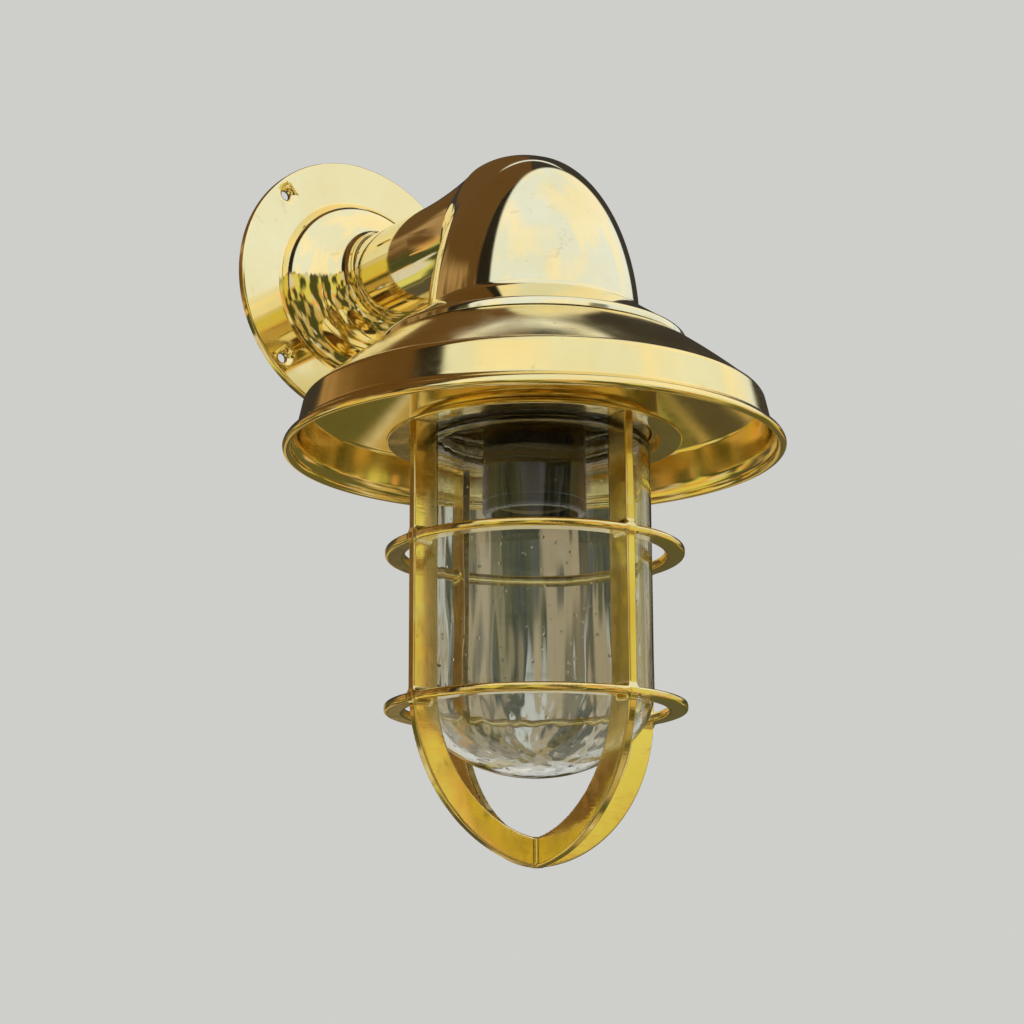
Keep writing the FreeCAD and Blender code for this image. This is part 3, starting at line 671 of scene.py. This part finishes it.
# ---------------------------------------------------------------- material nodes
class Graph:
    """Small helper round one material's node tree."""

    def __init__(self, name):
        self.material = bpy.data.materials.new(name)
        self.material.use_nodes = True
        self.tree = self.material.node_tree
        self.shader = self.tree.nodes["Principled BSDF"]
        self.coords = self.tree.nodes.new("ShaderNodeTexCoord").outputs["Object"]

    def node(self, kind, inputs=(), **settings):
        made = self.tree.nodes.new(kind)
        for key, value in settings.items():
            setattr(made, key, value)
        for key, value in dict(inputs).items():
            self.put(value, made.inputs[key])
        return made

    def put(self, value, socket):
        if isinstance(value, bpy.types.NodeSocket):
            self.tree.links.new(value, socket)
        else:
            socket.default_value = value

    def set(self, **inputs):
        for key, value in inputs.items():
            self.put(value, self.shader.inputs[key.replace("_", " ")])

    def math(self, kind, *values):
        made = self.tree.nodes.new("ShaderNodeMath")
        made.operation = kind
        for value, socket in zip(values, made.inputs):
            self.put(value, socket)
        return made.outputs[0]

    def noise(self, scale, detail=3.0, rough=0.55, vector=None, twist=0.0):
        made = self.node("ShaderNodeTexNoise", {
            "Vector": vector or self.coords, "Scale": scale, "Detail": detail, "Roughness": rough,
            "Distortion": twist,
        })
        return made.outputs["Fac"]

    def stretch(self, x, y, z):
        made = self.node("ShaderNodeMapping", {"Vector": self.coords, "Scale": (x, y, z)})
        return made.outputs["Vector"]

    def span(self, value, low, high, to_low=0.0, to_high=1.0):
        made = self.node("ShaderNodeMapRange", {
            "Value": value, "From Min": low, "From Max": high, "To Min": to_low, "To Max": to_high,
        })
        return made.outputs["Result"]

    def mix(self, factor, a, b):
        made = self.node("ShaderNodeMix", data_type="RGBA")
        self.put(factor, made.inputs[0])
        self.put(a, made.inputs[6])
        self.put(b, made.inputs[7])
        return made.outputs[2]

    def bump(self, height, distance, below=None):
        inputs = {"Height": height, "Distance": distance, "Strength": 1.0}
        if below is not None:
            inputs["Normal"] = below
        return self.node("ShaderNodeBump", inputs).outputs["Normal"]

    def round_axis(self):
        """Coordinates round the lamp axis: angle, height and radius, in metres."""
        parts = self.node("ShaderNodeSeparateXYZ", {"Vector": self.coords}).outputs
        back = self.math("SUBTRACT", parts["Y"], AXIS_Y * MM)
        angle = self.math("ARCTAN2", back, parts["X"])
        radius = self.math("SQRT", self.math(
            "ADD", self.math("MULTIPLY", parts["X"], parts["X"]),
            self.math("MULTIPLY", back, back),
        ))
        return angle, parts["Z"], radius

    def streaks(self, along, across):
        """Noise drawn out round the lamp axis; along and across are its scales."""
        angle, height, radius = self.round_axis()
        vector = self.node("ShaderNodeCombineXYZ", {
            "X": self.math("MULTIPLY", self.math("SINE", angle), along),
            "Y": self.math("MULTIPLY", self.math("COSINE", angle), along),
            "Z": self.math("MULTIPLY", self.math("ADD", height, radius), across),
        }).outputs[0]
        return self.noise(1.0, 4.0, 0.6, vector)


def rgba(r, g, b):
    return (r, g, b, 1.0)


# Each pair of tones is the brass where it is palest and where it is deepest.
CAST_TONES = rgba(0.93, 0.84, 0.56), rgba(0.88, 0.76, 0.42)
FLANGE_TONES = rgba(0.96, 0.83, 0.47), rgba(0.92, 0.75, 0.36)
SPUN_TONES = rgba(0.95, 0.79, 0.38), rgba(0.90, 0.70, 0.29)
# Very dark brass for the lamp's screw shell: painted shade, darker than the metal itself.
SOCKET_SHADE_TONES = rgba(0.16, 0.12, 0.06), rgba(0.10, 0.075, 0.04)
GUARD_TONES = rgba(0.95, 0.82, 0.43), rgba(0.82, 0.61, 0.22)
TARNISH = rgba(0.42, 0.23, 0.07)
# Dark brown laid into corners by occlusion: partly grime, partly painted shade.
CORNER_GRIME_AND_SHADE = rgba(0.10, 0.06, 0.025)


CORNER_REACH = 0.0035      # m from a corner over which grime and painted shade gather
SCRATCH_DEPTH = 0.0000015  # m


def brass(name, tones, rough, wave, wave_scale, marks=None, crevice_grime_and_shade=0.6, spots=0.25):
    """Polished brass: two tones, faint stains, polishing scratches, and grime with painted shade
    in the corners.

    wave and wave_scale are the depth (m) and the scale of the surface's slight unevenness;
    marks(g) gives the height, depth and added roughness of the marks that working it left.
    """
    g = Graph(name)
    tone = g.mix(g.span(g.noise(18, 4), 0.35, 0.65), *tones)
    stain = g.math("MULTIPLY", g.span(g.noise(160, 6, 0.65, twist=0.4), 0.60, 0.74), spots)
    tone = g.mix(stain, tone, TARNISH)
    # Occlusion darkens the corners and crevices: painted shade, broken up by noise as grime.
    occlusion = g.node("ShaderNodeAmbientOcclusion", {"Distance": CORNER_REACH}, samples=6)
    corner = g.span(occlusion.outputs["AO"], 0.75, 0.25)
    grime_and_shade = g.math("MULTIPLY", corner, g.span(g.noise(420, 4), 0.3, 0.6, 0.5, 1.0))
    tone = g.mix(g.math("MULTIPLY", grime_and_shade, crevice_grime_and_shade), tone, CORNER_GRIME_AND_SHADE)
    scratch_a = g.noise(1.0, 3.0, 0.6, g.stretch(2600, 2600, 150))
    scratch_b = g.noise(1.0, 3.0, 0.6, g.stretch(180, 2400, 2400))
    scratch = g.math("MAXIMUM", g.span(scratch_a, 0.62, 0.8), g.span(scratch_b, 0.64, 0.82))
    roughness = g.math("ADD", g.span(g.noise(75, 5), 0.35, 0.7, rough * 0.6, rough * 1.7),
                       g.math("MULTIPLY", scratch, 0.05))
    roughness = g.math("ADD", roughness, g.math("MULTIPLY", grime_and_shade, 0.3))
    roughness = g.math("ADD", roughness, g.math("MULTIPLY", stain, 0.25))
    normal = g.bump(g.noise(wave_scale, 2.0, 0.4), wave)
    normal = g.bump(scratch, SCRATCH_DEPTH, normal)
    if marks:
        height, depth, added = marks(g)
        normal = g.bump(height, depth, normal)
        roughness = g.math("ADD", roughness, g.math("MULTIPLY", height, added))
    g.set(Base_Color=tone, Metallic=1.0, Roughness=roughness, Normal=normal)
    return g.material


def file_marks(g):
    """Cross-wise file and mould marks on the guard's bars."""
    return g.noise(1.0, 3.0, 0.6, g.stretch(90, 90, 700), twist=0.3), 0.00003, 0.05


def spinning_marks(g):
    """Fine circles left by spinning and polishing on the lathe."""
    return g.streaks(5.0, 1900), 0.00001, 0.10


def turning_marks(g):
    """Finer circles left by the turning tool on the small fittings."""
    return g.streaks(2.0, 3000), 0.000006, 0.12


def moulding(name, colour, dust, rough, grain=700, depth=0.00001):
    """Moulded plastic, rubber or glaze with a little dust and wear."""
    g = Graph(name)
    tone = g.mix(g.span(g.noise(60, 5), 0.45, 0.8), colour, dust)
    g.set(Base_Color=tone, Roughness=g.span(g.noise(130, 5), 0.3, 0.7, rough * 0.7, rough * 1.4),
          Normal=g.bump(g.noise(grain, 4), depth))
    return g.material


GLASS_IOR = 1.5


def glass_material():
    """Clear pressed glass with faint waves, smears and a few tiny seeds."""
    g = Graph("clear_pressed_glass")
    smear = g.span(g.noise(55, 5, 0.6, g.stretch(1, 1, 0.35)), 0.5, 0.8)
    cells = g.node("ShaderNodeTexVoronoi", {"Vector": g.coords, "Scale": 160.0})
    seeds = cells.outputs["Distance"]
    normal = g.bump(g.noise(38, 2.0, 0.4), 0.00006)
    normal = g.bump(g.noise(1.0, 2.0, 0.5, g.stretch(70, 70, 7)), 0.0003, normal)
    normal = g.bump(g.span(seeds, 0.0, 0.12, 1.0, 0.0), 0.00003, normal)
    g.set(Base_Color=g.mix(smear, rgba(0.90, 0.92, 0.89), rgba(0.84, 0.86, 0.82)),
          Transmission_Weight=1.0, Roughness=g.math("MULTIPLY", smear, 0.05), Normal=normal)
    g.shader.inputs["IOR"].default_value = GLASS_IOR
    return g.material


def striped(name, base, second):
    """An insulating sleeve with stripes of a second colour."""
    g = Graph(name)
    wave = g.node("ShaderNodeTexWave", {"Vector": g.coords, "Scale": 55.0, "Distortion": 1.5},
                  bands_direction="DIAGONAL")
    g.set(Base_Color=g.mix(g.span(wave.outputs["Fac"], 0.55, 0.65), base, second),
          Roughness=g.span(g.noise(300), 0.3, 0.7, 0.3, 0.5), Normal=g.bump(g.noise(900), 0.00001))
    return g.material


MATERIALS = {
    "flange_brass": brass("polished_flange_brass", FLANGE_TONES, 0.07, 0.00005, 30, crevice_grime_and_shade=0.35),
    "cast_brass": brass("polished_cast_brass", CAST_TONES, 0.055, 0.00006, 26),
    "spun_brass": brass("spun_brass", SPUN_TONES, 0.075, 0.00004, 24, marks=spinning_marks),
    "guard_brass": brass("filed_guard_brass", GUARD_TONES, 0.10, 0.0005, 55,
                         marks=file_marks, crevice_grime_and_shade=0.8, spots=0.5),
    "fittings_brass": brass("turned_fittings_brass", GUARD_TONES, 0.16, 0.00002, 60,
                            marks=turning_marks, crevice_grime_and_shade=0.8),
    # The screw shell's brass, darkened throughout as painted shade.
    "shaded_socket_brass": brass("aged_socket_brass", SOCKET_SHADE_TONES, 0.42, 0.00002, 60,
                        marks=turning_marks, crevice_grime_and_shade=0.9),
    "rubber": moulding("seal_rubber", rgba(0.018, 0.018, 0.018), rgba(0.05, 0.047, 0.042),
                       0.6, 1500, 0.00002),
    "clear_glass": glass_material(),
    "bakelite": moulding("black_bakelite", rgba(0.004, 0.004, 0.004), rgba(0.010, 0.009, 0.008),
                         0.13, 240, 0.00001),
    "porcelain": moulding("glazed_porcelain", rgba(0.82, 0.80, 0.74), rgba(0.70, 0.66, 0.58),
                          0.16),
    "terminal_plastic": moulding("ivory_plastic", rgba(0.72, 0.69, 0.58), rgba(0.6, 0.55, 0.44),
                                 0.4),
    "live_insulation": moulding("brown_insulation", rgba(0.16, 0.07, 0.03),
                                rgba(0.22, 0.12, 0.07), 0.4),
    "neutral_insulation": moulding("blue_insulation", rgba(0.02, 0.07, 0.30),
                                   rgba(0.08, 0.13, 0.34), 0.4),
    "earth_insulation": striped("earth_insulation", rgba(0.05, 0.25, 0.04),
                                rgba(0.75, 0.62, 0.05)),
}
SLOT_OF_NODE = {s["node"]: s["material_slot"] for s in frame["record"]["subparts"]}


def dress_all():
    """Every own piece by its slot, and every CAD node that still shows."""
    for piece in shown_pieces():
        if piece.name in frame["nodes"]:
            # The screw shell takes the darkened brass: painted shade.
            in_painted_shade = piece.name == "screw_shell"
            for place in piece.material_slots:
                place.material = MATERIALS["shaded_socket_brass" if in_painted_shade else SLOT_OF_NODE[piece.name]]
        else:
            piece.data.materials.clear()
            piece.data.materials.append(MATERIALS[piece.get("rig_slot")])


dress_all()


# ---------------------------------------------------------------- floor, light, background
# The tones of the surroundings, from the window and sky down to the smoke seen in the glass.
WINDOW = rgba(1.02, 0.98, 0.86)
CLOUD = rgba(0.86, 0.95, 1.08)
ABOVE = rgba(0.045, 0.04, 0.035)
PORCH = rgba(0.42, 0.27, 0.13)
UMBER = rgba(0.13, 0.07, 0.025)
SHADOW = rgba(0.022, 0.018, 0.014)
MOSS = rgba(0.13, 0.125, 0.045)
LEAF = rgba(0.74, 0.70, 0.20)
ROOF = rgba(0.80, 0.45, 0.14)
WALL = rgba(0.10, 0.085, 0.05)
OLIVE = rgba(0.07, 0.075, 0.025)
AMBER = rgba(0.55, 0.42, 0.17)
CREAM = rgba(0.72, 0.69, 0.60)
BACKDROP = rgba(0.62, 0.62, 0.60)
HAZE = rgba(0.58, 0.58, 0.54)
TAN = rgba(0.40, 0.32, 0.20)
SMOKE = rgba(0.06, 0.068, 0.05)


FLOOR_REACH = 4.0          # m to each side
FLOOR_DROP = 0.35          # m below the guard
FLOOR_GLOW = 0.55


def floor():
    """Pale floor, well below a lantern that hangs on a wall."""
    level = GUARD_LOW_Z * MM - FLOOR_DROP
    mesh = bpy.data.meshes.new("floor")
    corners = [(x * FLOOR_REACH, y * FLOOR_REACH, level)
               for x, y in ((-1, -1), (1, -1), (1, 1), (-1, 1))]
    mesh.from_pydata(corners, [], [(0, 1, 2, 3)])
    plane = bpy.data.objects.new("floor", mesh)
    bpy.context.collection.objects.link(plane)
    g = Graph("pale_floor")
    g.set(Base_Color=g.mix(g.noise(6), rgba(0.60, 0.60, 0.60), rgba(0.64, 0.635, 0.63)),
          Roughness=0.7)
    g.shader.inputs["Emission Color"].default_value = rgba(0.62, 0.62, 0.61)
    g.shader.inputs["Emission Strength"].default_value = FLOOR_GLOW
    mesh.materials.append(g.material)
    plane.visible_glossy = False


def area_light(name, place, target, size, power, colour):
    """A soft lamp, shone from place at target, that no camera, gloss or glass shows."""
    data = bpy.data.lights.new(name, "AREA")
    data.shape = "RECTANGLE"
    data.size, data.size_y = size
    data.energy = power
    data.color = colour
    lamp = bpy.data.objects.new(name, data)
    lamp.location = place
    lamp.rotation_euler = (Vector(target) - Vector(place)).to_track_quat("-Z", "Y").to_euler()
    lamp.visible_camera = False
    lamp.visible_glossy = False
    lamp.visible_transmission = False
    bpy.context.collection.objects.link(lamp)


def world():
    """Surroundings by direction: bright sky in front, a dark porch at the side, a garden below.

    bearing runs round from the side that the photo was taken from, lift is the height above
    level; both are in degrees where a patch is placed.  Gloss and light see these
    surroundings, the camera sees a plain backdrop, and glass shows a streaked veil.
    """
    surroundings = bpy.data.worlds.new("studio")
    bpy.context.scene.world = surroundings
    surroundings.use_nodes = True
    tree = surroundings.node_tree
    tree.nodes.clear()

    def put(value, socket):
        if isinstance(value, bpy.types.NodeSocket):
            tree.links.new(value, socket)
        else:
            socket.default_value = value

    def math_node(kind, *values):
        made = tree.nodes.new("ShaderNodeMath")
        made.operation = kind
        for value, socket in zip(values, made.inputs):
            put(value, socket)
        return made.outputs[0]

    def step_up(value, low, high):
        """Smooth rise from 0 at low to 1 at high."""
        made = tree.nodes.new("ShaderNodeMapRange")
        made.interpolation_type = "SMOOTHSTEP"
        put(value, made.inputs["Value"])
        put(low, made.inputs["From Min"])
        put(high, made.inputs["From Max"])
        return made.outputs["Result"]

    def between(value, low, high, soft):
        """1 from low to high, in degrees, with edges soft degrees to each side."""
        rise = step_up(value, rad(low - soft), rad(low + soft))
        fall = step_up(value, rad(high - soft), rad(high + soft))
        return math_node("MULTIPLY", rise, math_node("SUBTRACT", 1.0, fall))

    def mix(factor, a, b):
        made = tree.nodes.new("ShaderNodeMix")
        made.data_type = "RGBA"
        put(factor, made.inputs[0])
        put(a, made.inputs[6])
        put(b, made.inputs[7])
        return made.outputs[2]

    def noise(scale, low, high, stretch=(1, 1, 1)):
        """Soft-edged blots where the noise rises past low to high."""
        placed = tree.nodes.new("ShaderNodeMapping")
        placed.inputs["Scale"].default_value = stretch
        tree.links.new(coords, placed.inputs["Vector"])
        made = tree.nodes.new("ShaderNodeTexNoise")
        tree.links.new(placed.outputs["Vector"], made.inputs["Vector"])
        made.inputs["Scale"].default_value = scale
        made.inputs["Detail"].default_value = 2.0
        return step_up(made.outputs["Fac"], low, high)

    def patch(bearing_low, bearing_high, lift_low, lift_high, soft=2.5):
        """1 inside a rectangle of bearing and lift, in degrees."""
        return math_node("MULTIPLY", between(bearing, bearing_low, bearing_high, soft),
                         between(lift, lift_low, lift_high, soft))

    rad = math.radians
    coords = tree.nodes.new("ShaderNodeTexCoord").outputs["Generated"]
    parts = tree.nodes.new("ShaderNodeSeparateXYZ")
    tree.links.new(coords, parts.inputs[0])
    x, y, z = parts.outputs
    sine, cosine = math.sin(CAMERA_YAW), math.cos(CAMERA_YAW)
    front = math_node("ADD", math_node("MULTIPLY", x, -sine), math_node("MULTIPLY", y, -cosine))
    side = math_node("ADD", math_node("MULTIPLY", x, cosine), math_node("MULTIPLY", y, -sine))
    bearing = math_node("ARCTAN2", side, front)
    lift = math_node("ARCSINE", z)

    ground = mix(noise(3.0, 0.46, 0.56, (1, 1, 0.4)), OLIVE, AMBER)
    ground = mix(noise(4.4, 0.58, 0.66, (1, 1.3, 0.4)), ground, CREAM)
    garden = mix(noise(2.0, 0.43, 0.53), OLIVE, LEAF)
    garden = mix(noise(2.6, 0.54, 0.60, (1, 1.2, 1.6)), garden, ROOF)
    garden = mix(noise(2.2, 0.57, 0.64, (1.2, 1, 1.4)), garden, CREAM)
    porch = mix(noise(7.0, 0.38, 0.62, (1, 1, 0.10)), UMBER, PORCH)
    sky = mix(noise(2.2, 0.40, 0.60), WINDOW, CLOUD)
    plaster = mix(noise(3.4, 0.50, 0.62, (1, 1, 0.4)), WALL, AMBER)
    colour = mix(step_up(z, -0.10, 0.02), ground, ABOVE)
    low_down = math_node("SUBTRACT", 1.0, step_up(z, 0.12, 0.30))
    wall = math_node("MULTIPLY", step_up(y, 0.45, 0.62), low_down)
    colour = mix(wall, colour, plaster)
    colour = mix(patch(-134, -66, -12, 84), colour, porch)
    colour = mix(patch(-179, -66, 30, 87, 3), colour, UMBER)
    colour = mix(patch(-66, -44, -12, 80), colour, SHADOW)
    colour = mix(patch(-134, -74, -70, 2, 7), colour, garden)
    colour = mix(patch(105, 176, -42, 8, 4), colour, MOSS)
    colour = mix(patch(-58, 150, -12, 17), colour, garden)
    facing = math_node("ADD", math_node("MULTIPLY", front, math.cos(rad(46))),
                       math_node("MULTIPLY", side, math.sin(rad(46))))
    treetops = math_node("ADD", rad(13.5), math_node("MULTIPLY", noise(3.0, 0.3, 0.7), rad(5)))
    above_trees = step_up(math_node("SUBTRACT", lift, treetops), 0.0, rad(2))
    colour = mix(math_node("MULTIPLY", step_up(facing, -0.10, -0.05), above_trees), colour, sky)
    away = math_node("MULTIPLY", front, -1.0)
    beyond = math_node("MULTIPLY", step_up(away, 0.44, 0.48), between(lift, 57, 61, 1))
    colour = mix(beyond, colour, sky)

    lit = tree.nodes.new("ShaderNodeBackground")
    put(colour, lit.inputs["Color"])
    seen = tree.nodes.new("ShaderNodeBackground")
    seen.inputs["Color"].default_value = BACKDROP
    rays = tree.nodes.new("ShaderNodeLightPath").outputs
    through = tree.nodes.new("ShaderNodeBackground")
    veil = mix(noise(19.0, 0.42, 0.54, (1, 1, 0.06)), SMOKE, TAN)
    put(mix(noise(34.0, 0.57, 0.70, (1, 1, 0.05)), veil, HAZE), through.inputs["Color"])
    refracted = tree.nodes.new("ShaderNodeMixShader")
    tree.links.new(rays["Is Transmission Ray"], refracted.inputs[0])
    tree.links.new(lit.outputs[0], refracted.inputs[1])
    tree.links.new(through.outputs[0], refracted.inputs[2])
    choice = tree.nodes.new("ShaderNodeMixShader")
    tree.links.new(rays["Is Camera Ray"], choice.inputs[0])
    tree.links.new(refracted.outputs[0], choice.inputs[1])
    tree.links.new(seen.outputs[0], choice.inputs[2])
    out = tree.nodes.new("ShaderNodeOutputWorld")
    tree.links.new(choice.outputs[0], out.inputs["Surface"])


floor()
world()
area_light("soft_top", place=(-0.4, -0.9, 1.3), target=(0, -0.13, -0.1), size=(0.9, 0.5),
           power=7, colour=(1.0, 0.98, 0.95))
area_light("soft_back", place=(0.9, 0.8, 0.5), target=(0, -0.1, -0.1), size=(0.8, 0.8),
           power=6, colour=(0.96, 0.98, 1.0))
bpy.context.scene.view_settings.view_transform = "Standard"

bpy.context.view_layer.update()
